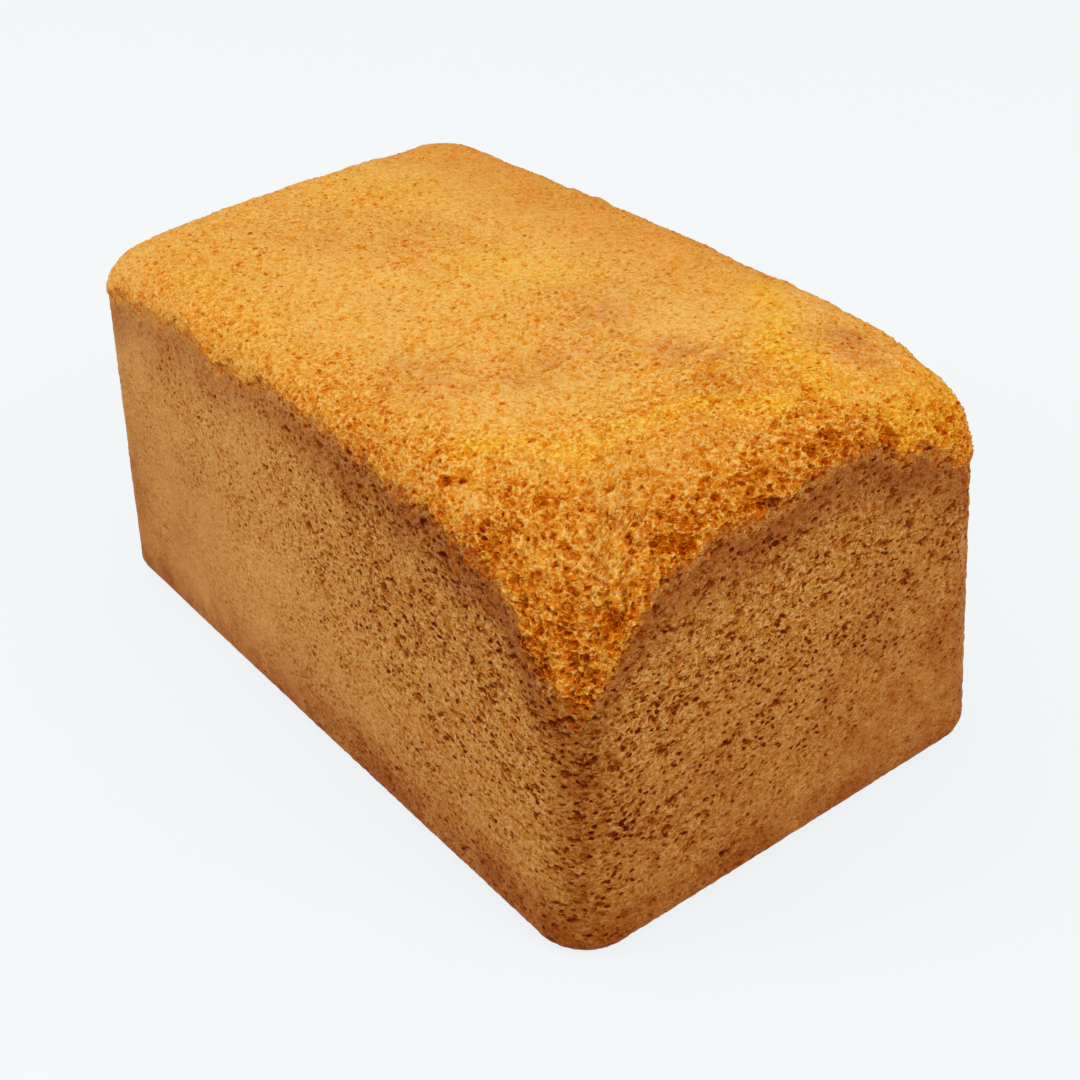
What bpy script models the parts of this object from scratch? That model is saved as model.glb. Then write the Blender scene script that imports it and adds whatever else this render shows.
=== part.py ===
"""Butter cake baked in a block tin and turned out whole, standing on its flat base.

The four walls carry the close-pored skin that the tin left. Above them the crumb is open:
it overhangs the skin by a thin lip, rolls over a soft shoulder and covers the uneven top.
The crumb has slumped and torn low at the corners, deepest at the two of the +X end.
Metres, +Z up. The origin is the middle of the base, and the length runs along X.
"""

import math

import bmesh
import bpy

# Base outline
LENGTH = 0.1698
WIDTH = 0.1000
CORNER_RADIUS = 0.0104
BASE_EDGE_RADIUS = 0.0035
LONG_WALL_BULGE = 0.0002

# How far each wall draws in for every metre of height
DRAW_IN_LEFT = 0.030
DRAW_IN_RIGHT = 0.030
DRAW_IN_FRONT = 0.080
DRAW_IN_BACK = 0.030

# Height of the top at its four corners, before the shoulder rounds them off
TOP_FRONT_LEFT = 0.0785
TOP_FRONT_RIGHT = 0.0800
TOP_BACK_LEFT = 0.0754
TOP_BACK_RIGHT = 0.0830
CROWN = 0.0010

# Height at which the skin ends and the crumb begins, at the four corners before tearing
RIM_FRONT_LEFT = 0.0715
RIM_FRONT_RIGHT = 0.0745
RIM_BACK_LEFT = 0.0725
RIM_BACK_RIGHT = 0.0755

# Torn corners: (side in X, side in Y, depth, reach along the long wall, reach along the end wall)
TEARS = (
    (1, -1, 0.0180, 0.0140, 0.0110),
    (1, -1, 0.0050, 0.0400, 0.0400),
    (1, 1, 0.0090, 0.0200, 0.0190),
    (1, 1, 0.0060, 0.0780, 0.0200),
    (-1, -1, 0.0050, 0.0110, 0.0300),
)

# Ragged line of the rim: (height, turns per metre, start angle)
RIM_WAVES = (
    (0.00045, 61.0, 0.3),
    (0.00035, 113.0, 1.9),
)

# The shoulder runs in from the walls by a fixed length and a share of its own height
REACH_LEAST = 0.0035
REACH_PER_DROP = 1.05
LIP_OVERHANG = 0.0005
LIP_HEIGHT = 0.0010

# Long swells of the top: (height, turns per metre in X, turns per metre in Y, start angle)
SWELLS = (
    (0.00025, 15.0, 5.0, 0.4),
    (0.00025, -7.0, 24.0, 2.1),
    (0.00015, 41.0, 13.0, 4.0),
    (0.00015, 22.0, -51.0, 1.2),
    (0.00010, 79.0, 47.0, 5.2),
)

# Hollows where crumb broke away: (x, y, half length, half width, turn, depth)
HOLLOWS = (
    (0.0530, -0.0415, 0.0052, 0.0030, 0.3, 0.0017),
    (0.0760, -0.0180, 0.0060, 0.0028, 1.2, 0.0008),
    (0.0775, 0.0200, 0.0050, 0.0030, 1.5, 0.0010),
)

# Grid of the surface: distances of its lines from an edge, then an even spacing
EDGE_LINES = (0.0, 0.0013, 0.0035, 0.0065, CORNER_RADIUS, 0.0150, 0.0205, 0.0270)
EVEN_SPACING = 0.0046
BASE_EDGE_ROWS = 3
SKIN_ROWS = 8
LIP_ROWS = 2

HALF_LENGTH = LENGTH / 2
HALF_WIDTH = WIDTH / 2

SKIN_COLOUR = (0.55, 0.29, 0.09, 1.0)
CRUMB_COLOUR = (0.80, 0.40, 0.07, 1.0)


def clear_scene():
    for obj in list(bpy.data.objects):
        bpy.data.objects.remove(obj, do_unlink=True)


def grid_lines(half):
    """Line positions from -half to +half: close together at the edges, evenly spaced between."""
    last = EDGE_LINES[-1]
    cells = round((half - last) / EVEN_SPACING)
    step = (half - last) / cells
    near = [half - inset for inset in EDGE_LINES]
    inner = [half - last - step * n for n in range(1, cells)]
    positive = near + inner
    return [-value for value in positive] + [0.0] + positive[::-1]


def wall_rows():
    """(part, share) for each row of a wall, from the base plane up to the crumb."""
    rows = [("edge", n / BASE_EDGE_ROWS) for n in range(BASE_EDGE_ROWS)]
    rows += [("skin", n / SKIN_ROWS) for n in range(SKIN_ROWS + 1)]
    rows += [("lip", n / LIP_ROWS) for n in range(1, LIP_ROWS + 1)]
    return rows


def between(fl, fr, bl, br, x, y):
    """Value at (x, y) of a sheet stretched between its four corner values."""
    s = (x / HALF_LENGTH + 1) / 2
    t = (y / HALF_WIDTH + 1) / 2
    return (fl * (1 - s) + fr * s) * (1 - t) + (bl * (1 - s) + br * s) * t


def rounded(p, q, half_x, half_y, radius):
    """Carries a point of the plain rectangle to the one with round corners.

    Each corner square is turned into a quarter disc: its rings become arcs about one centre.
    """
    cx = abs(p) - (half_x - radius)
    cy = abs(q) - (half_y - radius)
    if cx <= 0 or cy <= 0:
        return p, q
    ring = max(cx, cy)
    angle = math.pi / 4 * (cy / ring if cx >= cy else 2 - cx / ring)
    x = half_x - radius + ring * math.cos(angle)
    y = half_y - radius + ring * math.sin(angle)
    return math.copysign(x, p), math.copysign(y, q)


def foot_on_wall(p, q):
    """The inset of a top point from the walls, and the place on the outline that it belongs to."""
    from_x = HALF_LENGTH - abs(p)
    from_y = HALF_WIDTH - abs(q)
    if from_x <= from_y:
        return from_x, math.copysign(HALF_LENGTH, p), q * HALF_WIDTH / (HALF_WIDTH - from_x)
    return from_y, p * HALF_LENGTH / (HALF_LENGTH - from_y), math.copysign(HALF_WIDTH, q)


def rim_height(x, y):
    """Height of the skin's upper edge at a place on the outline."""
    height = between(RIM_FRONT_LEFT, RIM_FRONT_RIGHT, RIM_BACK_LEFT, RIM_BACK_RIGHT, x, y)
    for side_x, side_y, depth, reach_long, reach_end in TEARS:
        on_long = abs(side_x * HALF_LENGTH - x) / reach_long
        on_end = abs(side_y * HALF_WIDTH - y) / reach_end
        height -= depth * math.exp(-((on_long + on_end) ** 2))
    for size, turns, start in RIM_WAVES:
        height += size * math.sin(2 * math.pi * turns * (x + y) + start)
    return height


def top_height(x, y):
    """Height of the top without its shoulder: corner heights, crown and long swells."""
    height = between(TOP_FRONT_LEFT, TOP_FRONT_RIGHT, TOP_BACK_LEFT, TOP_BACK_RIGHT, x, y)
    height += CROWN * (1 - (y / HALF_WIDTH) ** 2)
    for size, turns_x, turns_y, start in SWELLS:
        height += size * math.sin(2 * math.pi * (turns_x * x + turns_y * y) + start)
    return height


def hollow_depth(x, y):
    """Depth below the top of the places where crumb broke away."""
    depth = 0.0
    for at_x, at_y, half_long, half_wide, turn, most in HOLLOWS:
        along = (x - at_x) * math.cos(turn) + (y - at_y) * math.sin(turn)
        across = (y - at_y) * math.cos(turn) - (x - at_x) * math.sin(turn)
        depth += most * math.exp(-((along / half_long) ** 2) - (across / half_wide) ** 2)
    return depth


def drawn_in(x, y, z):
    """Moves a point with the slope of the walls, which shrinks each level a little."""
    low_x = -HALF_LENGTH + DRAW_IN_LEFT * z
    high_x = HALF_LENGTH - DRAW_IN_RIGHT * z
    low_y = -HALF_WIDTH + DRAW_IN_FRONT * z
    high_y = HALF_WIDTH - DRAW_IN_BACK * z
    share_x = (x + HALF_LENGTH) / LENGTH
    share_y = (y + HALF_WIDTH) / WIDTH
    return low_x + share_x * (high_x - low_x), low_y + share_y * (high_y - low_y), z


def base_point(p, q):
    """A point of the flat base, inside the rounded lower edge."""
    half_x = HALF_LENGTH - BASE_EDGE_RADIUS
    half_y = HALF_WIDTH - BASE_EDGE_RADIUS
    p *= half_x / HALF_LENGTH
    q *= half_y / HALF_WIDTH
    x, y = rounded(p, q, half_x, half_y, CORNER_RADIUS - BASE_EDGE_RADIUS)
    return drawn_in(x, y, 0.0)


def wall_point(p, q, part, share):
    """A point of a wall: the rounded lower edge, the skin or the lip of crumb above it."""
    x, y = rounded(p, q, HALF_LENGTH, HALF_WIDTH, CORNER_RADIUS)
    rim = rim_height(p, q)
    outward = 0.0
    if part == "edge":
        turn = share * math.pi / 2
        outward = -BASE_EDGE_RADIUS * (1 - math.sin(turn))
        z = BASE_EDGE_RADIUS * (1 - math.cos(turn))
    elif part == "skin":
        z = BASE_EDGE_RADIUS + share * (rim - BASE_EDGE_RADIUS)
    else:
        outward = LIP_OVERHANG * math.sin(share * math.pi / 2)
        z = rim + LIP_HEIGHT * share**2
    nx, ny = outline_normal(p, q)
    outward += bulge(p, q)
    return drawn_in(x + outward * nx, y + outward * ny, z)


def outline_normal(p, q):
    """Direction straight out of the outline, at a place on it."""
    x, y = rounded(p, q, HALF_LENGTH, HALF_WIDTH, CORNER_RADIUS)
    nx = max(0.0, abs(x) - (HALF_LENGTH - CORNER_RADIUS)) / CORNER_RADIUS
    ny = max(0.0, abs(y) - (HALF_WIDTH - CORNER_RADIUS)) / CORNER_RADIUS
    return math.copysign(nx, x), math.copysign(ny, y)


def bulge(p, q):
    """How far a long wall swells out, at a place on the outline."""
    return LONG_WALL_BULGE * (1 - (p / HALF_LENGTH) ** 2) if abs(q) == HALF_WIDTH else 0.0


def top_point(p, q):
    """A point of the crumb: the shoulder is a quarter of an ellipse, and the top runs on inside it."""
    inset, foot_x, foot_y = foot_on_wall(p, q)
    x, y = rounded(p, q, HALF_LENGTH, HALF_WIDTH, CORNER_RADIUS)
    lip_top = rim_height(foot_x, foot_y) + LIP_HEIGHT
    drop = top_height(foot_x, foot_y) - lip_top
    reach = REACH_LEAST + REACH_PER_DROP * drop
    left = max(0.0, 1 - inset / reach)
    z = top_height(x, y) - drop * (1 - math.sqrt(1 - left**2)) - hollow_depth(x, y)
    nx, ny = outline_normal(foot_x, foot_y)
    outward = (LIP_OVERHANG + bulge(foot_x, foot_y)) * left
    return drawn_in(x + outward * nx, y + outward * ny, z)


def gridded_cube(columns, depths, rows):
    """A cube cut into a grid, with this many cells along X, Y and Z."""
    bm = bmesh.new()
    bmesh.ops.create_cube(bm, size=2.0)
    for axis, cells in enumerate((columns, depths, rows)):
        along = [
            edge
            for edge in bm.edges
            if abs(edge.verts[0].co[axis] - edge.verts[1].co[axis]) > 1.0
        ]
        bmesh.ops.subdivide_edges(bm, edges=along, cuts=cells - 1, use_grid_fill=True)
    return bm


def shape_cake():
    """Takes each point of the gridded cube to its place on the cake.

    Faces whose points all lie above the rim are crumb, and take the second material.
    """
    lines_x = grid_lines(HALF_LENGTH)
    lines_y = grid_lines(HALF_WIDTH)
    rows = wall_rows()
    cells = (len(lines_x) - 1, len(lines_y) - 1, len(rows) - 1)
    bm = gridded_cube(*cells)
    for vert in bm.verts:
        i, j, k = (round((vert.co[axis] + 1) / 2 * cells[axis]) for axis in range(3))
        p, q = lines_x[i], lines_y[j]
        on_outline = i in (0, cells[0]) or j in (0, cells[1])
        if on_outline:
            vert.co = wall_point(p, q, *rows[k])
        elif k == 0:
            vert.co = base_point(p, q)
        else:
            vert.co = top_point(p, q)
        vert.tag = k > BASE_EDGE_ROWS + SKIN_ROWS
    for face in bm.faces:
        face.material_index = int(all(corner.tag for corner in face.verts))
    return bm


def cake_material(name, colour, roughness):
    material = bpy.data.materials.new(name)
    material.use_nodes = True
    shader = material.node_tree.nodes["Principled BSDF"]
    shader.inputs["Base Color"].default_value = colour
    shader.inputs["Roughness"].default_value = roughness
    shader.inputs["Metallic"].default_value = 0.0
    return material


def build():
    collection = bpy.data.collections.new("butter_cake")
    bpy.context.scene.collection.children.link(collection)
    mesh = bpy.data.meshes.new("cake")
    mesh.materials.append(cake_material("cake_skin", SKIN_COLOUR, 0.85))
    mesh.materials.append(cake_material("cake_crumb", CRUMB_COLOUR, 0.90))
    bm = shape_cake()
    bm.to_mesh(mesh)
    bm.free()
    mesh.shade_smooth()
    cake = bpy.data.objects.new("cake", mesh)
    collection.objects.link(cake)


clear_scene()
build()
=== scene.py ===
"""A whole butter cake, turned out of its block tin: open crumb on top, pored skin on its walls."""

import itertools
import math

import bpy
import numpy as np
from mathutils import Matrix, Vector


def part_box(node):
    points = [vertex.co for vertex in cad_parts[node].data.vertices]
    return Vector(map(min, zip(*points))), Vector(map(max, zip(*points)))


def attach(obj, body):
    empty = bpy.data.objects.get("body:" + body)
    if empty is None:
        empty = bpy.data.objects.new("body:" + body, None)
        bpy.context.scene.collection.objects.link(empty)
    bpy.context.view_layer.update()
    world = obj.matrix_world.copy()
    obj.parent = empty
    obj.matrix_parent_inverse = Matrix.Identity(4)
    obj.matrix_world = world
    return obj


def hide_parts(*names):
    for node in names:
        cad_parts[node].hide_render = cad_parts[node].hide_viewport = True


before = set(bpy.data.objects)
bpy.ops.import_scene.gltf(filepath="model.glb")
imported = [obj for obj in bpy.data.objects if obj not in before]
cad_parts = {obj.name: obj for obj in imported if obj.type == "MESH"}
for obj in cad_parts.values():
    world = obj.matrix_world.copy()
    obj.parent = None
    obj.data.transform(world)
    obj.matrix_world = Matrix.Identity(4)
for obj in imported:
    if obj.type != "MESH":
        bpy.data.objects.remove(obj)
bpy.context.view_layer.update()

# --------------------------------------------------------------------------------------------
# The body of the cake
# One uncut block of butter cake on its flat base. It was baked in a straight tin, so the walls
# stand almost upright; the crumb above them has slumped over the rim and torn at the corners.
# --------------------------------------------------------------------------------------------

MM = 0.001
body_low, body_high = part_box("cake")

corner_radius = 10.4 * MM
base_edge_radius = 3.5 * MM
wall_bulge = 0.2 * MM
draw_in_ends = 0.030
draw_in_front = 0.080
draw_in_back = 0.030
half_length = (body_high.x - body_low.x) / 2 + draw_in_ends * base_edge_radius
half_width = 50.0 * MM

# Heights at the front left, front right, back left and back right corners
top_corners = np.array([78.5, 80.0, 75.4, 83.0]) * MM
rim_corners = np.array([71.5, 74.5, 72.5, 75.5]) * MM
crown = 1.0 * MM

# Torn corners: side in X, side in Y, depth, reach along the long wall, reach along the end wall
tears = (
    (1, -1, 18.0 * MM, 14.0 * MM, 11.0 * MM),
    (1, -1, 5.0 * MM, 40.0 * MM, 40.0 * MM),
    (1, 1, 9.0 * MM, 20.0 * MM, 19.0 * MM),
    (1, 1, 6.0 * MM, 78.0 * MM, 20.0 * MM),
    (-1, -1, 5.0 * MM, 11.0 * MM, 30.0 * MM),
)
# Places where the rim stands higher or lower: x, y, half length of the place, height
rim_rises = (
    (-40.0 * MM, -50.0 * MM, 5.0 * MM, 2.2 * MM),
    (-28.0 * MM, -50.0 * MM, 4.5 * MM, -2.2 * MM),
    (-6.0 * MM, -50.0 * MM, 6.0 * MM, 1.8 * MM),
    (13.0 * MM, -50.0 * MM, 4.5 * MM, 2.0 * MM),
    (42.0 * MM, -50.0 * MM, 5.0 * MM, 1.0 * MM),
    (84.0 * MM, -9.0 * MM, 8.0 * MM, -1.3 * MM),
    (84.0 * MM, 12.0 * MM, 6.0 * MM, 1.6 * MM),
    (84.0 * MM, 24.0 * MM, 4.5 * MM, -2.0 * MM),
)
# Long swells of the top: height, turns per metre in X and in Y, start angle
swells = (
    (0.25 * MM, 15.0, 5.0, 0.4),
    (0.25 * MM, -7.0, 24.0, 2.1),
    (0.15 * MM, 41.0, 13.0, 4.0),
    (0.15 * MM, 22.0, -51.0, 1.2),
    (0.10 * MM, 79.0, 47.0, 5.2),
)
# Hollows where crumb broke away: x, y, half length, half width, turn, depth
hollows = (
    (53.0 * MM, -41.5 * MM, 5.2 * MM, 3.0 * MM, 0.3, 1.7 * MM),
    (76.0 * MM, -18.0 * MM, 6.0 * MM, 2.8 * MM, 1.2, 0.8 * MM),
    (77.5 * MM, 20.0 * MM, 5.0 * MM, 3.0 * MM, 1.5, 1.0 * MM),
)
shoulder_least = 3.5 * MM
shoulder_per_drop = 1.05
lip_overhang = 0.35 * MM
lip_height = 1.0 * MM

crumb_spacing = 0.27 * MM
closer_to_near_corner = 0.38
skin_row_spacing = 0.27 * MM
lip_rows = 5
base_edge_rows = 12
base_margin = 3.0 * MM
base_margin_rows = 6


def smooth(value):
    """Eases 0 to 1: three times the square less twice the cube, held flat outside."""
    value = np.clip(value, 0.0, 1.0)
    return value * value * (3 - 2 * value)


def ramp(value, start, end):
    """Eases from 0 to 1 while the value goes from start to end."""
    return smooth((value - start) / (end - start))


def fade(distance, reach):
    """A bell curve, 1 at no distance: e to the power of minus the square of distance over reach."""
    return np.exp(-((distance / reach) ** 2))


def scrambled(cell, seed):
    """A well-mixed 32-bit number for each whole-numbered cell, from its three coordinates.

    The large multipliers are odd numbers that carry each bit far up, and the shifts bring it back.
    """
    cell = cell.astype(np.int64).astype(np.uint32)
    mixed = cell[..., 0] * np.uint32(0x9E3779B1)
    mixed = (mixed ^ (mixed >> np.uint32(15))) + cell[..., 1] * np.uint32(0x85EBCA77)
    mixed = (mixed ^ (mixed >> np.uint32(13))) + cell[..., 2] * np.uint32(0xC2B2AE3D)
    mixed = (mixed ^ np.uint32(seed * 7919 + 17)) * np.uint32(0x27D4EB2F)
    mixed = (mixed ^ (mixed >> np.uint32(15))) * np.uint32(0x2C1B3C6D)
    mixed = (mixed ^ (mixed >> np.uint32(12))) * np.uint32(0x297A2D39)
    return mixed ^ (mixed >> np.uint32(15))


def drift(points, size, seed):
    """Smooth noise from -1 to 1: the eight corner numbers of each cell, eased into each other."""
    scaled = (points / size).astype(np.float32)
    cell = np.floor(scaled)
    ease = smooth(scaled - cell)
    total = np.zeros(points.shape[:-1], np.float32)
    for step in itertools.product((0, 1), repeat=3):
        share = np.prod(np.where(step, ease, 1 - ease), axis=-1)
        total += share * ((scrambled(cell + step, seed) >> np.uint32(8)) / np.float32(2**23) - 1)
    return total


def between(corners, x, y):
    """Value of a sheet stretched between its four corner values."""
    s = (x / half_length + 1) / 2
    t = (y / half_width + 1) / 2
    front = corners[0] * (1 - s) + corners[1] * s
    back = corners[2] * (1 - s) + corners[3] * s
    return front * (1 - t) + back * t


def rounded(p, q, half_x, half_y, radius):
    """The plain rectangle with its corners rounded: each corner square becomes a quarter disc."""
    cx = np.abs(p) - (half_x - radius)
    cy = np.abs(q) - (half_y - radius)
    in_corner = (cx > 0) & (cy > 0)
    ring = np.where(in_corner, np.maximum(cx, cy), 1.0)
    angle = np.pi / 4 * np.where(cx >= cy, cy / ring, 2 - cx / ring)
    x = np.where(in_corner, half_x - radius + ring * np.cos(angle), np.abs(p))
    y = np.where(in_corner, half_y - radius + ring * np.sin(angle), np.abs(q))
    return np.copysign(x, p), np.copysign(y, q)


def outline_normal(foot_x, foot_y):
    """Direction straight out of the outline at a place on it."""
    x, y = rounded(foot_x, foot_y, half_length, half_width, corner_radius)
    nx = np.maximum(0, np.abs(x) - (half_length - corner_radius)) / corner_radius
    ny = np.maximum(0, np.abs(y) - (half_width - corner_radius)) / corner_radius
    return np.copysign(nx, x), np.copysign(ny, y)


def drawn_in(x, y, z):
    """Moves points with the slope of the walls, so that each level is a little smaller."""
    low_x, high_x = -half_length + draw_in_ends * z, half_length - draw_in_ends * z
    low_y, high_y = -half_width + draw_in_front * z, half_width - draw_in_back * z
    share_x = (x + half_length) / (2 * half_length)
    share_y = (y + half_width) / (2 * half_width)
    x = low_x + share_x * (high_x - low_x)
    y = low_y + share_y * (high_y - low_y)
    return np.stack([x, y, z], axis=-1)


def rim_height(x, y):
    """Upper edge of the skin: a level line, less the torn corners, with a ragged edge."""
    height = between(rim_corners, x, y)
    for side_x, side_y, depth, reach_long, reach_end in tears:
        on_long = np.abs(side_x * half_length - x) / reach_long
        on_end = np.abs(side_y * half_width - y) / reach_end
        height = height - depth * fade(on_long + on_end, 1)
    places = np.stack([x, y, np.zeros_like(x)], axis=-1)
    for at_x, at_y, half_long, rise in rim_rises:
        height = height + rise * fade(np.hypot(x - at_x, y - at_y), half_long)
    ragged = 0.9 * drift(places, 9 * MM, 11) + 0.8 * drift(places, 3.1 * MM, 12)
    ragged = ragged + 0.4 * drift(places, 1.3 * MM, 13)
    toward_end = ramp(x / half_length, -0.7, 0.3)
    return height + ragged * (0.4 + 0.6 * toward_end) * MM


def top_height(x, y):
    """Top without its shoulder: a sheet between the corners, a crown and swells, calmer at the back."""
    height = between(top_corners, x, y) + crown * (1 - (y / half_width) ** 2)
    calmer = 1 - 0.6 * ramp(y / half_width, 0.3, 0.9)
    for size, turns_x, turns_y, start in swells:
        height = height + calmer * size * np.sin(2 * np.pi * (turns_x * x + turns_y * y) + start)
    return height


def hollow_depth(x, y):
    """Smooth dents, each an ellipse that fades outwards."""
    depth = 0
    for at_x, at_y, half_long, half_wide, turn, most in hollows:
        along = (x - at_x) * math.cos(turn) + (y - at_y) * math.sin(turn)
        across = (y - at_y) * math.cos(turn) - (x - at_x) * math.sin(turn)
        depth = depth + most * fade(along, half_long) * fade(across, half_wide)
    return depth


def bulge(foot_x, foot_y):
    """Outward swell of the long walls, greatest at the middle of their length."""
    on_long = np.abs(foot_y) >= half_width * (1 - 1e-9)
    return np.where(on_long, wall_bulge * (1 - (foot_x / half_length) ** 2), 0.0)


def crumb_surface(p, q):
    """Crumb on a square grid whose rings run parallel to the walls.

    From the rim a ring climbs a quarter of an ellipse, then runs on level to the middle; rings
    are spaced evenly along that path. Also gives each point's distance from the rim along it.
    """
    from_end = half_length - np.abs(p)
    from_side = half_width - np.abs(q)
    on_end = from_end <= from_side
    ring = np.minimum(from_end, from_side)
    across_end = q / np.maximum(half_width - ring, 1e-9)
    across_side = p / np.maximum(half_length - ring, 1e-9)
    foot_x = np.where(on_end, np.copysign(half_length, p), across_side * half_length)
    foot_y = np.where(on_end, across_end * half_width, np.copysign(half_width, q))
    lip_top = rim_height(foot_x, foot_y) + lip_height
    drop = top_height(foot_x, foot_y) - lip_top
    reach = shoulder_least + shoulder_per_drop * drop
    arc = np.pi / 2 * np.sqrt((drop**2 + reach**2) / 2)
    path = ring / half_width * (arc + half_width - reach)
    turn = np.minimum(path / arc, 1.0) * np.pi / 2
    inset = reach * (1 - np.cos(turn)) + np.maximum(path - arc, 0)
    x = np.where(on_end, np.copysign(half_length - inset, p), across_side * (half_length - inset))
    y = np.where(on_end, across_end * (half_width - inset), np.copysign(half_width - inset, q))
    x, y = rounded(x, y, half_length, half_width, corner_radius)
    z = top_height(x, y) - drop * (1 - np.sin(turn)) - hollow_depth(x, y)
    nx, ny = outline_normal(foot_x, foot_y)
    outward = (lip_overhang + bulge(foot_x, foot_y)) * np.cos(turn)
    return drawn_in(x + outward * nx, y + outward * ny, z), path


def wall_surface(foot_x, foot_y):
    """Rows of a wall from the lip down: lip, skin, rounded lower edge and a margin of the base.

    Also gives each point's height over the rim, which is negative on the skin.
    """
    rim = rim_height(foot_x, foot_y)
    nx, ny = outline_normal(foot_x, foot_y)
    swell = bulge(foot_x, foot_y)
    corner = rounded(foot_x, foot_y, half_length, half_width, corner_radius)
    rows = []

    def add_row(outward, z):
        x, y = corner[0] + outward * nx, corner[1] + outward * ny
        rows.append((drawn_in(x, y, z), z - rim))

    for n in range(1, lip_rows + 1):
        share = n / lip_rows
        out = lip_overhang * np.sqrt(1 - share**2)
        add_row(out + swell, rim + lip_height * (1 - share))
    skin_rows = round(float(rim.max() - base_edge_radius) / skin_row_spacing)
    for n in range(1, skin_rows + 1):
        share = n / skin_rows
        add_row(swell, rim * (1 - share) + base_edge_radius * share)
    for n in range(1, base_edge_rows + 1):
        turn = n / base_edge_rows * math.pi / 2
        z = np.full_like(rim, base_edge_radius * (1 - math.sin(turn)))
        add_row(swell - base_edge_radius * (1 - math.cos(turn)), z)
    for n in range(1, base_margin_rows + 1):
        inset = base_edge_radius + base_margin * n / base_margin_rows
        add_row(swell - inset, np.zeros_like(rim))
    points = np.stack([row[0] for row in rows], axis=1)
    above = np.stack([row[1] for row in rows], axis=1)
    return points, above


def lines_across(half, toward):
    """Grid lines from one wall to the other, closer together toward the near corner."""
    share = np.linspace(0, 1, round(2 * half / crumb_spacing) + 1)
    return half * (2 * (share + toward * closer_to_near_corner * share * (1 - share)) - 1)


lines_x = lines_across(half_length, 1)
lines_y = lines_across(half_width, -1)
count_x, count_y = len(lines_x), len(lines_y)
grid_p, grid_q = np.meshgrid(lines_x, lines_y, indexing="ij")
crumb_points, crumb_path = crumb_surface(grid_p, grid_q)

# The rim runs round the crumb's outer ring: along the front, the right end, the back, the left end
i, j = np.arange(count_x), np.arange(count_y)
last_i, last_j = np.full(count_y - 1, count_x - 1), np.full(count_x - 1, count_y - 1)
rim_i = np.concatenate([i, last_i, i[-2::-1], np.zeros(count_y - 2, int)])
rim_j = np.concatenate([np.zeros(count_x, int), j[1:], last_j, j[-2:0:-1]])
wall_points, wall_above = wall_surface(lines_x[rim_i], lines_y[rim_j])
around, down = wall_above.shape

base_middle = np.zeros((1, 3))
points = np.concatenate([crumb_points.reshape(-1, 3), wall_points.reshape(-1, 3), base_middle])
above_rim = np.concatenate([crumb_path.ravel() + lip_height, wall_above.ravel(), [-half_width]])
edge_gap = np.maximum(half_length - np.abs(grid_p), half_width - np.abs(grid_q))
wall_edge_gap = np.repeat(edge_gap[rim_i, rim_j][:, None], down, axis=1)
edge_gap = np.concatenate([edge_gap.ravel(), wall_edge_gap.ravel(), [half_width]])
crumb_index = np.arange(count_x * count_y).reshape(count_x, count_y)
wall_index = np.arange(around * down).reshape(around, down) + crumb_index.size
wall_index = np.concatenate([crumb_index[rim_i, rim_j][:, None], wall_index], axis=1)
wall_index = np.concatenate([wall_index, wall_index[:1]], axis=0)


def grid_quads(index):
    """Four-cornered faces of a grid of point numbers, turned to face outwards."""
    corners = index[:-1, :-1], index[1:, :-1], index[1:, 1:], index[:-1, 1:]
    return np.stack(corners, axis=-1).reshape(-1, 4)


crumb_quads = grid_quads(crumb_index)
wall_quads = grid_quads(wall_index)[:, ::-1]

# The flat base is a fan from its middle to the innermost row of the walls
base_ring = wall_index[:, -1]
base_middles = np.full(around, len(points) - 1)
base_faces = np.stack([base_ring[1:], base_ring[:-1], base_middles], axis=-1)
base_quads = np.column_stack([base_faces, base_middles])


def point_normals(points, quads):
    """Mean direction of the faces round each point, larger faces counting for more."""
    corners = points[quads]
    facing = np.cross(corners[:, 2] - corners[:, 0], corners[:, 3] - corners[:, 1])
    total = np.zeros_like(points)
    for axis in range(3):
        weights = np.repeat(facing[:, axis], 4)
        total[:, axis] = np.bincount(quads.ravel(), weights, len(points))
    return total / np.linalg.norm(total, axis=1, keepdims=True)


all_quads = np.concatenate([crumb_quads, wall_quads, base_quads])
form_normals = point_normals(points, all_quads)
x, y, z = points.T


# --------------------------------------------------------------------------------------------
# Crumb and skin relief
# Open crumb is a net of thin walls round bubbles that burst on its surface. Skin is the same
# crumb pressed flat against the tin, so only the mouths of its bubbles show, as small pores.
# --------------------------------------------------------------------------------------------


def layered(points, size, seed, layers=3):
    """Drift noise with finer layers on it, each half the size and a little over half as strong."""
    strengths = [0.55**layer for layer in range(layers)]
    parts = [s * drift(points, size / 2**n, seed + n) for n, s in enumerate(strengths)]
    return sum(parts) / sum(strengths)


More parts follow.
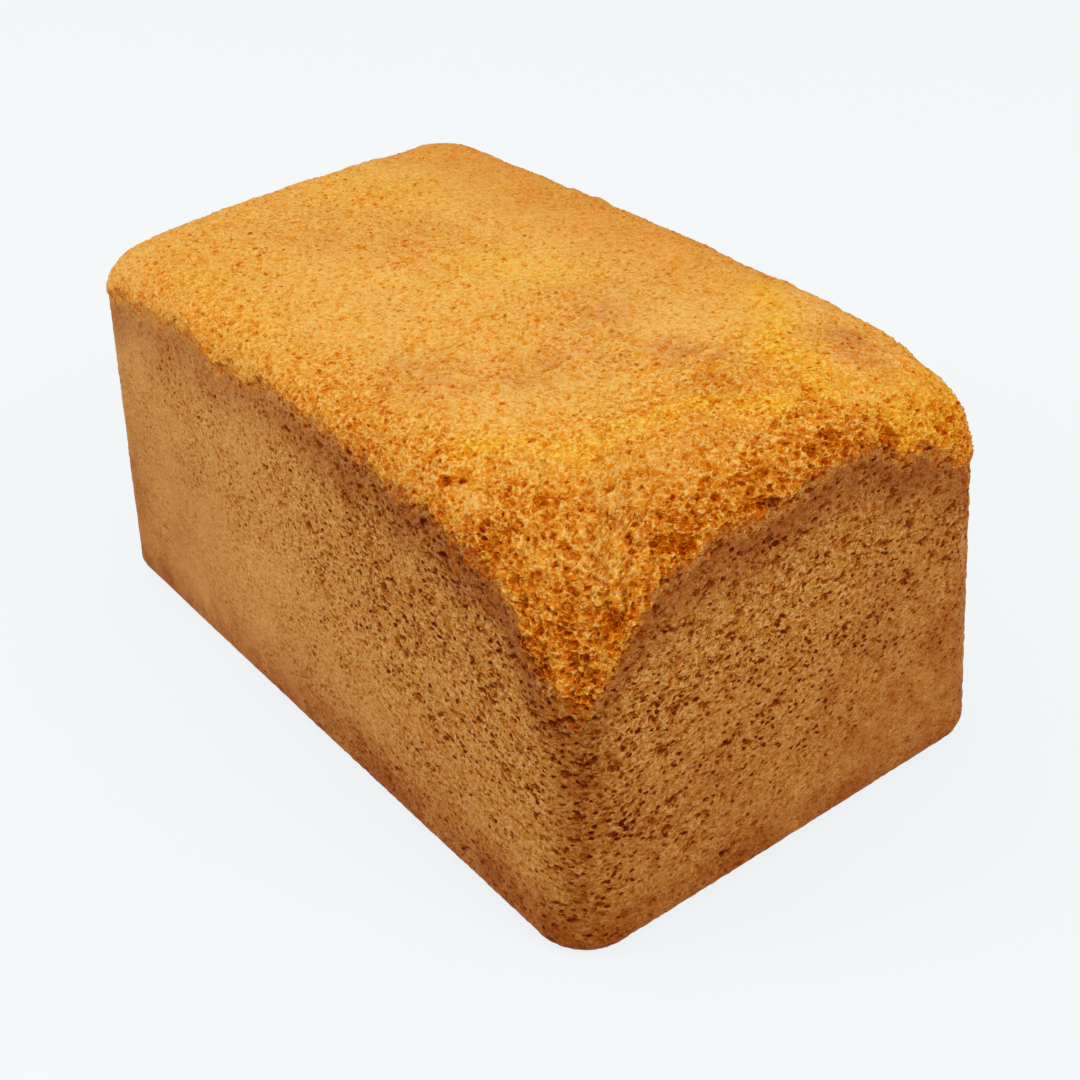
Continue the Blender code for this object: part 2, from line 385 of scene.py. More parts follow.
def bubbles(points, size, seed):
    """Bubble pattern: one centre is scattered in each cell of a lattice.

    Gives the distance to the nearest centre, the further distance to the second nearest, both
    in cells, and a number from 0 to 1 that belongs to the nearest bubble.
    """
    scaled = (points / size).astype(np.float32)
    cell = np.floor(scaled)
    inside = scaled - cell
    nearest = np.full(len(points), 9.0, np.float32)
    second = nearest.copy()
    number = np.zeros(len(points), np.float32)
    for step in itertools.product((-1, 0, 1), repeat=3):
        mixed = scrambled(cell + step, seed)
        gap = np.zeros(len(points), np.float32)
        # Ten bits of the cell's number give the centre's place along each axis
        for axis, shift in enumerate((0, 10, 20)):
            place = ((mixed >> np.uint32(shift)) & np.uint32(1023)) / np.float32(1023)
            gap += (place + step[axis] - inside[:, axis]) ** 2
        closer = gap < nearest
        second = np.where(closer, nearest, np.minimum(second, gap))
        own = (mixed >> np.uint32(7)) % np.uint32(997) / np.float32(996)
        number = np.where(closer, own, number)
        nearest = np.minimum(nearest, gap)
    nearest, second = np.sqrt(nearest), np.sqrt(second)
    return nearest, second - nearest, number


def wandering(points, size, reach, seed):
    """Points pushed about by smooth noise, which bends whatever pattern is read at them."""
    pushes = [drift(points, size, seed + n) for n in range(3)]
    return points + reach * np.stack(pushes, axis=-1)


def burst(points, size, seed, present, least, most):
    """Depth of burst bubbles: the round bottom of a ball whose radius is the bubble's own.

    Size is the cell of the bubble lattice along the three axes, present is the share of the
    cells that hold a bubble, and the radius runs from least to most, in cells.
    """
    nearest, _, number = bubbles(points, np.array(size), seed)
    radius = np.where(number < present, least + (most - least) * number / present, 0.0)
    return min(size) * np.sqrt(np.maximum(radius**2 - nearest**2, 0.0))


def foam(points, size, seed):
    """Share of full depth in a net of thin walls: 0 on each wall, each cell as deep as its number."""
    wall_thickness = 0.42
    _, edge, number = bubbles(points, np.array(size), seed)
    return smooth(edge / wall_thickness) * (0.25 + 0.75 * number)


# The boundary between crumb and skin is frayed, with scraps of each in the other
fray = 2.6 * drift(points, 4.0 * MM, 14) + 2.6 * drift(points, 1.5 * MM, 15)
fray = np.maximum(fray + 1.8 * drift(points, 0.7 * MM, 16) + 0.3, -0.8)
to_near_corner = np.hypot(half_length - x, half_width + y)
at_near_corner = fade(to_near_corner, 32 * MM)
fray *= 1 + 0.5 * at_near_corner

# At the back right corner and the left end, crumb and skin run into each other without an edge
to_back_right = np.hypot(half_length - x, half_width - y)
blended = np.maximum(fade(to_back_right, 20 * MM), ramp(x, -45 * MM, -75 * MM))
crumb_share = smooth((above_rim + fray * MM) / ((0.8 + 2.6 * blended) * MM) + 0.5)
is_crumb = crumb_share > 0
is_skin = crumb_share < 1


def crumb_openness():
    """How far the crumb is torn open: half on the top, more at the right end, rim and near corner."""
    near_end = ramp(x, 35 * MM, 75 * MM)
    near_rim = 1 - ramp(above_rim, 4 * MM, 22 * MM)
    near_rim *= 0.3 + 0.7 * ramp(x, -60 * MM, 20 * MM)
    near_corner = fade(to_near_corner, 34 * MM)
    toward_back = ramp(y, 5 * MM, 40 * MM)
    open_here = 0.50 + 0.26 * near_end + 0.20 * near_rim + 0.32 * near_corner
    open_here = open_here - 0.12 * toward_back + 0.10 * drift(points, 14 * MM, 31)
    return np.clip(open_here, 0, 1)


def crumb_relief(points, openness):
    """Open crumb: burst bubbles of three sizes, a torn net of cells and a gentle unevenness.

    Gives the height of each point over the plain form, and its share of a hole's full depth.
    """
    bent = wandering(points, 2.0 * MM, 0.6 * MM, 21)
    bent = wandering(bent, 0.8 * MM, 0.32 * MM, 24)
    large = burst(bent, (2.8 * MM, 2.8 * MM, 1.3 * MM), seed=1, present=0.3, least=0.25, most=0.62)
    middling = burst(bent, (1.15 * MM, 1.15 * MM, 0.85 * MM), seed=2, present=0.7, least=0.30, most=0.66)
    small = burst(bent, (0.72 * MM, 0.72 * MM, 0.62 * MM), seed=3, present=0.9, least=0.40, most=0.75)
    net = 0.75 * MM * foam(bent, (1.5 * MM, 1.5 * MM, 0.95 * MM), seed=6)
    torn = ramp(openness, 0.5, 1.0)
    depth = np.maximum(np.maximum(1.4 * large, net) * torn, 1.1 * middling * openness)
    depth += 0.9 * small * openness
    cluster = drift(points, 3.2 * MM, 34)
    swell = 0.45 * openness**2 * layered(points, 5 * MM, 41)
    swell += 0.2 * openness * cluster + 0.30 * openness * drift(points, 0.62 * MM, 44)
    full_depth = 0.85 * MM
    return swell * MM - depth, np.clip(depth / full_depth - 0.2 * openness * cluster, 0, 1)


def skin_poredness():
    """How thickly the skin is pored: little low down at the left end, fully near the rim."""
    toward_top = ramp(z, 4 * MM, 64 * MM)
    toward_end = ramp(x, -60 * MM, 60 * MM)
    toward_back = ramp(y, -15 * MM, 35 * MM)
    patchy = drift(points, 8 * MM, 57) + 0.7 * drift(points, 3.5 * MM, 58)
    at_corner = at_upright_edge * (x > 0) * (y < 0)
    pored = 0.20 + 0.42 * toward_end - 0.18 * toward_back
    pored = pored + toward_top * (0.22 + 0.26 * toward_end) + 0.18 * patchy + 0.15 * at_corner
    return np.clip(pored, 0.1, 1.05)


def skin_relief(points, pored):
    """Pored skin: burst bubbles wider than high, in a fine and a wide size, and a faint swell.

    Gives the height of each point over the plain form, and its share of a pore's full depth.
    """
    bent = wandering(points, 2.4 * MM, 0.6 * MM, 51)
    bent = wandering(bent, 0.9 * MM, 0.35 * MM, 54)
    fine = burst(bent, (1.3 * MM, 1.3 * MM, 0.75 * MM), seed=4, present=0.75, least=0.25, most=0.62)
    wide = burst(bent, (2.6 * MM, 2.6 * MM, 1.1 * MM), seed=5, present=0.26, least=0.20, most=0.58)
    depth = np.maximum(fine * 0.75, 1.2 * wide * ramp(pored, 0.5, 0.8)) * pored
    swell = 0.12 * layered(points, 6 * MM, 61)
    swell += 0.22 * pored * drift(bent * np.array([0.6, 0.6, 1.0]), 0.62 * MM, 64)
    full_depth = 0.42 * MM
    return swell * MM - depth, np.clip(depth / full_depth, 0, 1)


# Gaps torn in the crumb, and knobs left standing: both ends of each, half width, depth
crevices = np.array([
    (67.0, -29.0, 78.5, 69.0, -27.0, 79.5, 1.3, 1.2),
    (82.0, -27.5, 76.0, 83.0, -22.0, 73.0, 1.2, 1.4),
    (77.0, -31.0, 76.5, 80.0, -30.0, 75.0, 1.2, 1.2),
    (74.0, -44.0, 66.5, 78.0, -40.5, 66.5, 0.9, 1.5),
    (81.5, -37.5, 67.0, 82.5, -37.0, 65.0, 1.3, 1.8),
    (69.0, -44.5, 70.0, 71.0, -44.0, 69.5, 1.1, 1.2),
    (61.0, -44.5, 73.5, 64.0, -41.5, 76.0, 1.5, 1.0),
    (47.0, -42.0, 76.5, 49.5, -39.5, 77.5, 0.9, 1.1),
    (42.0, -46.5, 74.0, 44.5, -46.0, 74.5, 0.9, 1.2),
    (83.0, -10.0, 74.5, 83.0, -4.0, 73.0, 0.8, 1.6),
    (81.5, 8.0, 79.0, 82.0, 10.5, 78.0, 1.1, 1.3),
    (83.0, 20.5, 75.5, 83.0, 22.5, 73.5, 1.4, 1.5),
    (81.0, 2.0, 80.0, 82.0, 5.5, 78.5, 0.8, 1.3),
    (80.5, -20.0, 79.0, 81.5, -14.5, 78.5, 0.7, 1.2),
    (62.0, -22.0, 80.5, 66.5, -19.0, 81.5, 1.0, 0.8),
    (82.5, -39.5, 59.0, 82.5, -38.5, 62.5, 1.3, -0.9),
    (77.0, -44.5, 61.5, 79.0, -44.0, 55.0, 1.5, -0.8),
]) * MM


def line_gap(places, start, end):
    """Distance of each place from the short straight line between two places."""
    run = end - start
    offset = places - start
    share = np.clip(offset @ run / (run @ run), 0, 1)
    return np.linalg.norm(offset - share[:, None] * run, axis=1)


def crevice_depth(points):
    """Depth of the torn gaps, less the height of the knobs.

    Each falls off as e to the power of minus the fourth power of distance over half width.
    """
    bent = wandering(points, 1.5 * MM, 0.7 * MM, 81)
    depth = np.zeros(len(points))
    for row in crevices:
        start, end, half_wide, most = row[:3], row[3:6], row[6], row[7]
        depth += most * np.exp(-((line_gap(bent, start, end) / half_wide) ** 4))
    return depth


at_upright_edge = fade(edge_gap, 8 * MM)
openness = crumb_openness()
pored = skin_poredness()
relief = np.zeros(len(points))
# Each point's share of a hole's full depth, which the material paints darker as shade and glow
pit = np.zeros(len(points))
moved, holes = crumb_relief(points[is_crumb], openness[is_crumb])
relief[is_crumb] += crumb_share[is_crumb] * moved
pit[is_crumb] += crumb_share[is_crumb] * holes
moved, holes = skin_relief(points[is_skin], pored[is_skin])
relief[is_skin] += (1 - crumb_share[is_skin]) * moved
pit[is_skin] += (1 - crumb_share[is_skin]) * holes
pored += crumb_share * (openness - pored)

# Scraps of crumb stand a little proud of the skin, and the larger gaps go deeper
near_rim = fade(above_rim, 3.5 * MM)
proud = (1 - 0.8 * blended) * (0.45 + 0.35 * drift(points, 1.6 * MM, 17))
proud += at_near_corner * (0.35 + 0.45 * drift(points, 2.2 * MM, 18))
relief += crumb_share * near_rim * proud * MM
torn_depth = crevice_depth(points)
relief -= torn_depth
# Painted shade: the torn gaps are coloured deeper, like holes, and the knobs a little paler
pit = np.clip(pit + 0.35 * torn_depth / MM, 0, 1)

# The bottoms of the hollows are smoother and less pitted than the crumb round them
bared = crumb_share * np.clip(hollow_depth(x, y) / (1.6 * MM), 0, 1)
relief *= 1 - 0.45 * bared
pit *= 1 - 0.8 * bared
pored *= 1 - 0.5 * bared

# The base stays flat where it stands
relief *= ramp(z, 0, 2.5 * MM)


# --------------------------------------------------------------------------------------------
# Browning and painted shade
# Heat and butter colour the dough unevenly: yellow streaks of butter and mauve-brown patches on
# the crumb, a brown band under the rim, and darker, redder corners and lower edges. The gap
# under the lip and the skin toward the left end are darkened as painted shade.
# --------------------------------------------------------------------------------------------

# Streaks and patches on the top: x and y at one end, x and y at the other, half width, strength
butter_streaks = (
    (37 * MM, 37 * MM, 47 * MM, 30 * MM, 3.5 * MM, 0.8),
    (47 * MM, 30 * MM, 57 * MM, 20 * MM, 4.0 * MM, 0.9),
    (57 * MM, 20 * MM, 74 * MM, 17 * MM, 4.5 * MM, 1.0),
    (72 * MM, 7 * MM, 62 * MM, 0 * MM, 4.0 * MM, 0.8),
    (62 * MM, 0 * MM, 60 * MM, -22 * MM, 3.5 * MM, 0.9),
    (60 * MM, -22 * MM, 45 * MM, -35 * MM, 3.5 * MM, 0.8),
    (-12 * MM, 6 * MM, 6 * MM, 12 * MM, 6.0 * MM, 0.45),
    (-50 * MM, -36 * MM, -18 * MM, -38 * MM, 5.0 * MM, 0.4),
    (-70 * MM, 8 * MM, -50 * MM, 20 * MM, 8.0 * MM, 0.35),
    (84 * MM, 24 * MM, 76 * MM, 44 * MM, 6.0 * MM, 0.9),
)
mauve_patches = (
    (33 * MM, -13 * MM, 37 * MM, -4 * MM, 10.0 * MM, 0.6),
    (20 * MM, -29 * MM, 26 * MM, -26 * MM, 8.0 * MM, 0.7),
    (31 * MM, 2 * MM, 20 * MM, 14 * MM, 9.0 * MM, 0.6),
    (60 * MM, 33 * MM, 68 * MM, 30 * MM, 5.0 * MM, 0.9),
    (44 * MM, 7 * MM, 52 * MM, 10 * MM, 5.5 * MM, 0.9),
    (58 * MM, 4 * MM, 62 * MM, 6 * MM, 4.5 * MM, 0.9),
    (74 * MM, -30 * MM, 72 * MM, -8 * MM, 5.0 * MM, 0.3),
    (-30 * MM, 12 * MM, -42 * MM, -8 * MM, 9.0 * MM, 0.35),
)
# The palest crumb, on the shoulder over the right end and across the near corner
pale_crumb = (
    (72 * MM, -28 * MM, 74 * MM, 22 * MM, 9.0 * MM, 0.25),
    (65 * MM, -42 * MM, 79 * MM, -31 * MM, 4.5 * MM, 0.32),
)


def marks(points, rows):
    """Strength of soft marks, each fading with the distance from a short straight line."""
    strongest = np.zeros(len(points))
    for from_x, from_y, to_x, to_y, half_wide, strength in rows:
        gap = line_gap(points[:, :2], np.array([from_x, from_y]), np.array([to_x, to_y]))
        strongest = np.maximum(strongest, strength * fade(gap, half_wide))
    return strongest


blotch = layered(points, 9 * MM, 71)
fleck = layered(points, 2.4 * MM, 75)
broken = crumb_share * np.clip(0.8 + 1.0 * fleck + 0.5 * blotch, 0, 1.4)
butter = 1.2 * broken * marks(points, butter_streaks)
mauve = 0.75 * broken * marks(points, mauve_patches)

# A mauve-brown band under the rim, weaker at the left end and at the upright edges
skin_share = 1 - crumb_share
band = ramp(above_rim + 5 * MM * blotch, -17 * MM, -3 * MM)
band *= 0.4 + 0.6 * ramp(above_rim, -1.5 * MM, -4 * MM)
band *= (0.45 + 0.55 * ramp(x, -70 * MM, 70 * MM)) * (1 - 0.7 * at_upright_edge)
mauve += skin_share * (band + 0.3 * fade(z, 11 * MM))

# Scorched skin: the upright edges, low and back on the right end, the lower skin and the foot. Toward
# the left end the skin is darkened as painted shade, where the light falls off.
on_end = ramp(x, 76 * MM, 84 * MM)
low_down = ramp(z, 60 * MM, 20 * MM)
shade_toward_left = ramp(x, -5 * MM, -60 * MM)
scorch_and_shade = np.max([
    at_upright_edge * (0.45 + 0.35 * on_end),
    0.45 * shade_toward_left * (0.25 + 0.75 * low_down) + 0.25 * ramp(x, -60 * MM, -78 * MM),
    on_end * (0.48 * low_down + 0.28 * ramp(y, -5 * MM, 35 * MM)),
    0.22 * ramp(z, 35 * MM, 15 * MM),
    0.95 * fade(z, 13 * MM),
], axis=0)
scorch_and_shade *= skin_share * np.clip(1 + 0.6 * blotch + 0.5 * fleck, 0, 1.5)

# Deeper amber crumb at the left and the back of the top and on the lip, and painted shade in the gap
# under it, where amber, crumb colour and deeper holes stand in for shade
off_end = ramp(x, 60 * MM, 10 * MM)
amber_and_lip_shade = np.max([
    0.10 * off_end + 0.12 * ramp(x, 0, -60 * MM),
    0.75 * ramp(y, 10 * MM, 40 * MM) * (0.3 + 0.7 * off_end),
    0.75 * ramp(above_rim, 1.5 * MM, -2 * MM),
], axis=0)
amber_and_lip_shade = crumb_share * np.clip(amber_and_lip_shade * (1 + 0.6 * blotch), 0, 1)
# Painted shade under the lip, reaching across the edge between crumb and skin
shade_under_lip = fade(above_rim + (0.8 * fray + 1.0) * MM, 1.4 * MM) * smooth(0.6 + 1.3 * fleck)
shade_under_lip = np.maximum(shade_under_lip, 4 * crumb_share * skin_share)
amber_and_lip_shade = np.maximum(amber_and_lip_shade, shade_under_lip)
crumb_and_lip_shade_share = np.maximum(crumb_share, 0.75 * shade_under_lip)
pit = np.clip(pit + 0.3 * shade_under_lip, 0, 1)

points = points + form_normals * relief[:, None]
points[:, 2] = np.maximum(points[:, 2], 0.0)
normals = point_normals(points, all_quads)

# Painted glow and shade: the steep sides of holes are coloured as deep as their bottoms, standing in for
# light that soaks through thin crumb
steepness = 1 - np.sum(normals * form_normals, axis=1)
pit = np.clip(pit * (1 - 0.4 * crumb_share) + steepness * (0.3 + 0.5 * crumb_share), 0, 1)

# Where the crumb is palest, its holes look shallower
hole_contrast = 1 - crumb_share * marks(points, pale_crumb)
pit *= hole_contrast
pored *= hole_contrast
# The crumb share reaches into the gap under the lip, giving it crumb colour as painted shade
shown = {"pit": pit, "crumb": crumb_and_lip_shade_share, "butter": butter, "mauve": mauve}
shown.update({"scorch_and_shade": scorch_and_shade, "amber_and_lip_shade": amber_and_lip_shade, "pored": pored})


# --------------------------------------------------------------------------------------------
# The cake's surface
# One closed surface, kept as patches that share their edge points: the crumb in four, each wall
# in two, and the base. All of it is the same baked dough, in one material.
# --------------------------------------------------------------------------------------------


class Value:
    """One output of a material's node tree, to be used in sums like a number."""

    def __init__(self, bench, socket):
        self.bench = bench
        self.socket = socket

    def __add__(self, other):
        return self.bench.maths("ADD", self, other)

    def __sub__(self, other):
        return self.bench.maths("SUBTRACT", self, other)

    def __rsub__(self, other):
        return self.bench.maths("SUBTRACT", other, self)

    def __mul__(self, other):
        return self.bench.maths("MULTIPLY", self, other)

    __radd__ = __add__
    __rmul__ = __mul__


class Bench:
    """The node tree of one material, with one way to add a node to it."""

    def __init__(self, name):
        self.material = bpy.data.materials.new(name)
        self.material.use_nodes = True
        self.tree = self.material.node_tree
        self.shader = self.tree.nodes["Principled BSDF"]

    def node(self, kind, settings, sockets, output=0):
        """A new node with its settings, fed by numbers or by other values; gives one output."""
        made = self.tree.nodes.new("ShaderNode" + kind)
        for name, setting in settings.items():
            if name == "stops":
                self.set_stops(made.color_ramp, setting)
            else:
                setattr(made, name, setting)
        for name, value in sockets.items():
            self.plug(value, made.inputs[name])
        return Value(self, made.outputs[output])

    def plug(self, value, socket):
        """Links a value to a socket, or sets the socket to a plain number or colour."""
        if isinstance(value, Value):
            self.tree.links.new(value.socket, socket)
        else:
            socket.default_value = value

    def set_stops(self, scale, stops):
        """Gives a colour scale its stops. It has two from the start, and the others are new."""
        for n, (position, colour) in enumerate(stops):
            stop = scale.elements[n] if n < 2 else scale.elements.new(position)
            stop.position = position
            stop.color = (*colour, 1.0)

    def maths(self, operation, first, second=0.0):
        return self.node("Math", {"operation": operation}, {0: first, 1: second})

    def held(self, value, low=0.0, high=1.0):
        """The value, held between the low and the high limit."""
        return self.maths("MINIMUM", self.maths("MAXIMUM", value, low), high)

    def step(self, value, low, high):
        """Eases from 0 to 1 while the value goes from low to high."""
        sockets = {"Value": value, "From Min": low, "From Max": high}
        return self.node("MapRange", {"interpolation_type": "SMOOTHSTEP"}, sockets)

    def mix(self, share, first, second, blend="MIX"):
        """The first colour with a share of the second laid over it, or multiplied into it."""
        settings = {"data_type": "RGBA", "blend_type": blend}
        return self.node("Mix", settings, {0: share, 6: first, 7: second}, output=2)

    def attribute(self, name):
        """A value that is stored on the points of the mesh."""
        return self.node("Attribute", {"attribute_name": name}, {}, output="Fac")

    def scaled(self, places, factors):
        return self.node("VectorMath", {"operation": "MULTIPLY"}, {0: places, 1: factors})

    def noise(self, places, size, detail=2.0, output="Fac"):
        sockets = {"Vector": places, "Scale": 1 / size, "Detail": detail}
        return self.node("TexNoise", {}, sockets, output=output)

    def warped(self, places, size, reach):
        """Places pushed about by soft noise, which bends whatever pattern is read at them."""
        push = self.noise(places, size, 1.0, "Color")
        sockets = {0: push, 1: (reach, reach, reach), 2: places}
        return self.node("VectorMath", {"operation": "MULTIPLY_ADD"}, sockets)

    def cells(self, places, size):
        """Distance to the nearest of the points scattered in cells, and a number for that point."""
        sockets = {"Vector": places, "Scale": 1 / size}
        gap = self.node("TexVoronoi", {}, sockets, output="Distance")
        tint = Value(self, gap.socket.node.outputs["Color"])
        return gap, self.node("SeparateColor", {}, {0: tint})


def linear(red, green, blue):
    """A display colour of 0 to 255 as the linear colour that a shader takes."""
    shares = [value / 255 for value in (red, green, blue)]
    return tuple(s / 12.92 if s <= 0.04045 else ((s + 0.055) / 1.055) ** 2.4 for s in shares)


def solid(red, green, blue):
    """The same with full opacity, for a colour socket."""
    return (*linear(red, green, blue), 1.0)


def cake_material():
    """Baked dough: golden crumb and tan-brown skin, whose holes and pores are painted deeper
    orange-brown as shade and glow.
    """
    pore_spacing = 1.1 * MM
    pinhole_spacing = 0.62 * MM
    thread_spacing = 0.75 * MM
    speckle_size = 0.6 * MM
    bench = Bench("butter_cake")
    places = bench.node("TexCoord", {}, {}, output="Object")
    bent = bench.warped(places, 0.9 * MM, 0.7 * MM)
    pit = bench.attribute("pit")
    crumb = bench.attribute("crumb")
    pored = bench.attribute("pored")
    speckle = bench.noise(places, speckle_size, 2.0) - 0.5

    # Pattern finer than the mesh, wider than high: pores, pinholes, and threads of crumb
    flat = bench.scaled(bent, (0.65, 0.65, 1.0))
    spot, spot_number = bench.cells(flat, pore_spacing)
    dot, dot_number = bench.cells(flat, pinhole_spacing)
    contour = bench.maths("ABSOLUTE", bench.noise(flat, thread_spacing, 1.0) - 0.5)
    thread = bench.step(contour, 0.01, 0.09)
    hole = (1 - bench.step(spot, 0.12, 0.42)) * spot_number
    pinhole = (1 - bench.step(dot, 0.14, 0.42)) * (0.3 + dot_number * 0.7)

    # Crumb: pale gold on its outermost walls, deepening to orange-brown in its holes, where the deeper
    # colour is painted shade and glow
    crumb_depth = hole * 0.50 + pinhole * 0.26 + thread * 0.34 + speckle * 0.4
    crumb_depth = bench.held(pit * 0.70 + crumb_depth * (0.43 + pored * 0.74) - 0.17)
    crumb_colour = bench.node("ValToRGB", {"stops": (
        (0.0, linear(242, 196, 108)),
        (0.28, linear(228, 152, 32)),
        (0.55, linear(206, 104, 0)),
        (1.0, linear(142, 38, 0)),
    )}, {0: crumb_depth}, output="Color")
    crumb_colour = bench.mix(
        bench.attribute("mauve"), crumb_colour, solid(224, 198, 222), "MULTIPLY")
    crumb_colour = bench.mix(
        bench.attribute("butter"), crumb_colour, (1.04, 1.11, 0.62, 1.0), "MULTIPLY")
    # Amber crumb tone, and painted shade in the gap under the lip
    crumb_colour = bench.mix(
        bench.attribute("amber_and_lip_shade"), crumb_colour, solid(236, 206, 160), "MULTIPLY")

    # Skin: tan between its pores and brown in them, where the brown is painted shade
    pores = hole * (0.35 + pored * 0.85) + pinhole * 0.32 + thread * 0.34
    skin_depth = pit * 0.52 + (pores + speckle * 0.28) * (0.22 + pored * 0.95)
    skin_depth = bench.held(skin_depth + (1 - pored) * 0.14 - 0.12)
    skin_colour = bench.node("ValToRGB", {"stops": (
        (0.0, linear(218, 170, 102)),
        (0.28, linear(193, 127, 42)),
        (0.60, linear(154, 72, 0)),
        (1.0, linear(100, 26, 0)),
    )}, {0: skin_depth}, output="Color")
    faded = bench.attribute("mauve") * (1 - skin_depth * 0.7)
    skin_colour = bench.mix(faded, skin_colour, solid(204, 162, 156), "MULTIPLY")
    # Scorched skin, and painted shade toward the left end, as a darker, redder tint
    skin_colour = bench.mix(
        bench.attribute("scorch_and_shade"), skin_colour, solid(203, 159, 106), "MULTIPLY")

    bench.plug(bench.mix(crumb, skin_colour, crumb_colour), bench.shader.inputs["Base Color"])
    bench.shader.inputs["Roughness"].default_value = 0.4
    bench.shader.inputs["Specular IOR Level"].default_value = 0.05

    # Relief of the fine pattern
    holes = hole * 0.16 + pinhole * 0.06 + thread * 0.10
    height = (speckle * 0.05 - holes * (0.2 + pored * 0.8)) * MM
    bump = bench.node("Bump", {}, {"Height": height, "Distance": 1.0, "Strength": 1.0})
    bench.plug(bump, bench.shader.inputs["Normal"])
    return bench.material


cake_dough = cake_material()


def spread_evenly(index):
    """Flat places for a grid of point numbers: the grid stretched over nearly the whole square."""
    margin = 0.004
    flat = np.zeros((len(points), 2))
    across, along = [np.linspace(margin, 1 - margin, count) for count in index.shape]
    flat[index] = np.stack(np.meshgrid(across, along, indexing="ij"), axis=-1)
    return flat


def add_patch(name, faces, flat):
    """A patch of the surface: its own points, its faces, and the values that its material reads."""
    used, corners = np.unique(faces, return_inverse=True)
    mesh = bpy.data.meshes.new(name)
    mesh.vertices.add(len(used))
    mesh.vertices.foreach_set("co", points[used].astype(np.float32).ravel())
    mesh.loops.add(faces.size)
    mesh.loops.foreach_set("vertex_index", corners.ravel().astype(np.int32))
    mesh.polygons.add(len(faces))
    starts = np.arange(0, faces.size, faces.shape[1], dtype=np.int32)
    mesh.polygons.foreach_set("loop_start", starts)
    mesh.update(calc_edges=True)
    for label, values in shown.items():
        layer = mesh.attributes.new(label, "FLOAT", "POINT")
        layer.data.foreach_set("value", values[used].astype(np.float32))
    unwrapped = mesh.uv_layers.new(name="OFBake")
    unwrapped.data.foreach_set("uv", flat[faces.ravel()].astype(np.float32).ravel())
    mesh.shade_smooth()
    mesh.normals_split_custom_set_from_vertices(normals[used].tolist())
    mesh.materials.append(cake_dough)
    patch = bpy.data.objects.new(name, mesh)
    bpy.context.scene.collection.objects.link(patch)
    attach(patch, "root")
    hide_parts("cake")


half_x, half_y = count_x // 2, count_y // 2
for name_x, span_x in (("left", slice(0, half_x + 1)), ("right", slice(half_x, count_x))):
    for name_y, span_y in (("front", slice(0, half_y + 1)), ("back", slice(half_y, count_y))):
        index = crumb_index[span_x, span_y]
        add_patch(f"crumb_{name_y}_{name_x}", grid_quads(index), spread_evenly(index))

corner_columns = np.cumsum([0, count_x - 1, count_y - 1, count_x - 1, count_y - 1])
front_start, right_start, back_start, left_start, ring_end = corner_columns
wall_spans = (
    ("wall_front_left", front_start, half_x),
    ("wall_front_right", half_x, right_start),
    ("wall_right_end_front", right_start, right_start + half_y),
    ("wall_right_end_back", right_start + half_y, back_start),
    ("wall_back_right", back_start, back_start + half_x),
    ("wall_back_left", back_start + half_x, left_start),
    ("wall_left_end_back", left_start, left_start + half_y),
    ("wall_left_end_front", left_start + half_y, ring_end),
)
for name, start, end in wall_spans:
    index = wall_index[start : end + 1]
    add_patch(name, grid_quads(index)[:, ::-1], spread_evenly(index))

add_patch("base", base_faces, points[:, :2] / (2 * half_length) + 0.5)


# --------------------------------------------------------------------------------------------
# Floor, light and camera
# A pale floor that runs on without an edge, two large soft lamps that face the two walls in view,
# a weak one overhead, and a camera that looks down at the near corner.
# --------------------------------------------------------------------------------------------

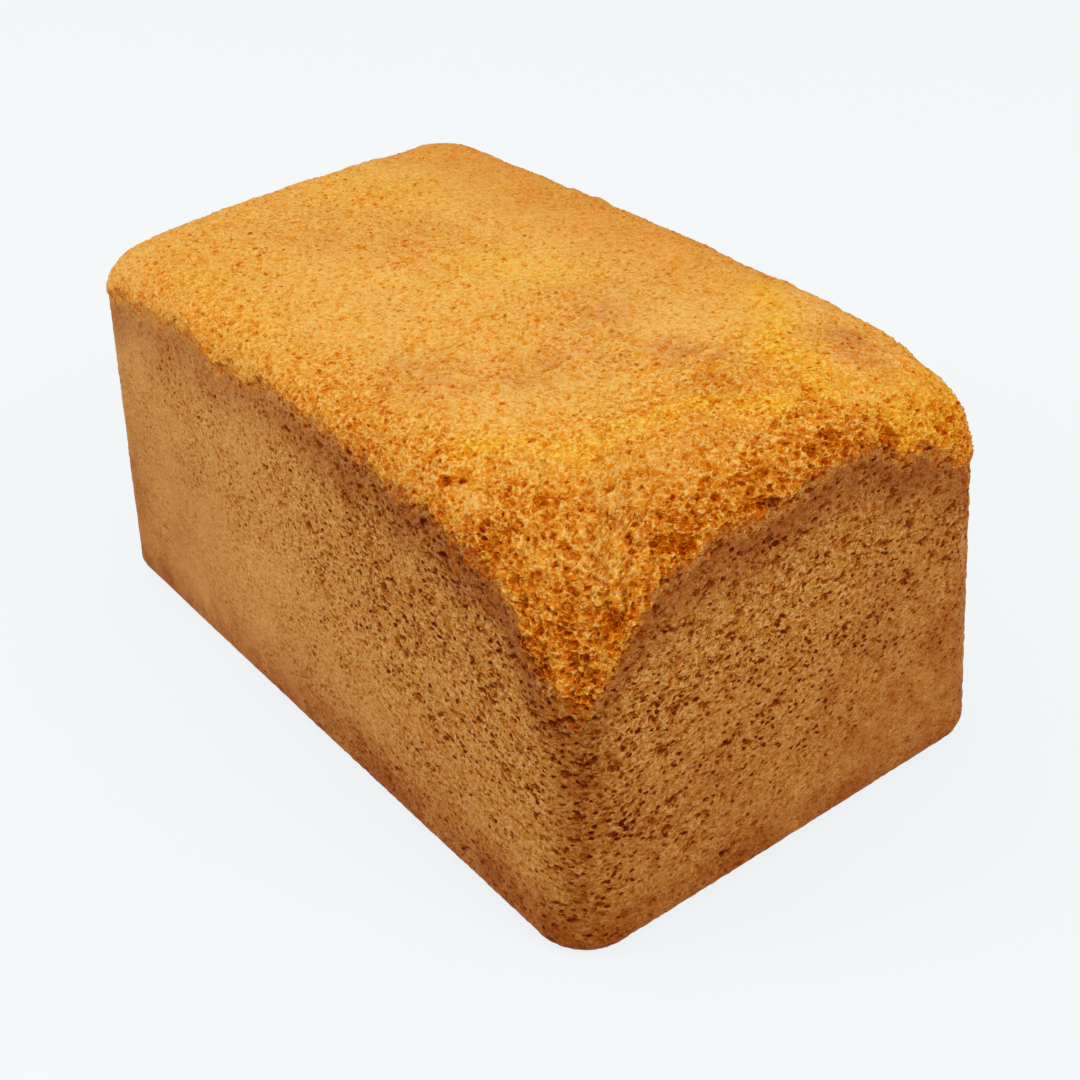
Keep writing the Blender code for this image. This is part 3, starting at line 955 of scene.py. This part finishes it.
floor_reach = 6.0
floor_height = -0.05 * MM
floor_mesh = bpy.data.meshes.new("floor")
signs = ((-1, -1), (1, -1), (1, 1), (-1, 1))
floor_corners = [(sx * floor_reach, sy * floor_reach, floor_height) for sx, sy in signs]
floor_mesh.from_pydata(floor_corners, [], [(0, 1, 2, 3)])
floor = bpy.data.objects.new("floor", floor_mesh)
bpy.context.scene.collection.objects.link(floor)
floor_bench = Bench("floor")
floor_bench.shader.inputs["Base Color"].default_value = solid(100, 102, 104)
floor_bench.shader.inputs["Roughness"].default_value = 0.9
floor_bench.shader.inputs["Specular IOR Level"].default_value = 0.1
floor_bench.shader.inputs["Emission Color"].default_value = solid(242, 247, 250)
floor_bench.shader.inputs["Emission Strength"].default_value = 0.87
floor_mesh.materials.append(floor_bench.material)
floor.visible_diffuse = False
floor.visible_glossy = False


body_middle = Vector((0.0, 0.0, 0.04))
lamp_size = 0.45
lamp_colour = (1.0, 0.98, 0.95)


def add_lamp(name, place, watts):
    """A square soft lamp that faces the middle of the cake."""
    light = bpy.data.lights.new(name, "AREA")
    light.size = lamp_size
    light.energy = watts
    light.color = lamp_colour
    lamp = bpy.data.objects.new(name, light)
    lamp.location = place
    lamp.rotation_euler = (body_middle - Vector(place)).to_track_quat("-Z", "Y").to_euler()
    bpy.context.scene.collection.objects.link(lamp)


add_lamp("overhead", (-0.10, -0.15, 0.95), 0.8)
add_lamp("left", (-0.45, -0.72, 0.58), 3.15)
add_lamp("right", (0.75, 0.22, 0.55), 3.0)

world = bpy.data.worlds.new("studio")
bpy.context.scene.world = world
world.use_nodes = True
backdrop = world.node_tree.nodes["Background"]
backdrop.inputs["Color"].default_value = (1.0, 0.88, 0.72, 1.0)
backdrop.inputs["Strength"].default_value = 0.65

bpy.context.scene.view_settings.view_transform = "Standard"

camera_azimuth = math.radians(55.45)
camera_elevation = math.radians(33.59)
camera_roll = math.radians(-4.57)
camera_distance = 372.2 * MM
camera_aim = Vector((-4.84 * MM, 11.33 * MM, 15.68 * MM))
backward = Vector((
    math.sin(camera_azimuth) * math.cos(camera_elevation),
    -math.cos(camera_azimuth) * math.cos(camera_elevation),
    math.sin(camera_elevation),
))
level = Vector((math.cos(camera_azimuth), math.sin(camera_azimuth), 0.0))
upward = backward.cross(level)
right_way = math.cos(camera_roll) * level + math.sin(camera_roll) * upward
up_way = math.cos(camera_roll) * upward - math.sin(camera_roll) * level
camera_data = bpy.data.cameras.new("camera")
camera_data.sensor_width = 36.0
camera_data.lens = 58.2
camera_data.clip_start = 0.01
camera = bpy.data.objects.new("camera", camera_data)
bpy.context.scene.collection.objects.link(camera)
turned = Matrix((right_way, up_way, backward)).transposed()
camera.matrix_world = Matrix.Translation(camera_aim + backward * camera_distance) @ turned.to_4x4()
bpy.context.scene.camera = camera
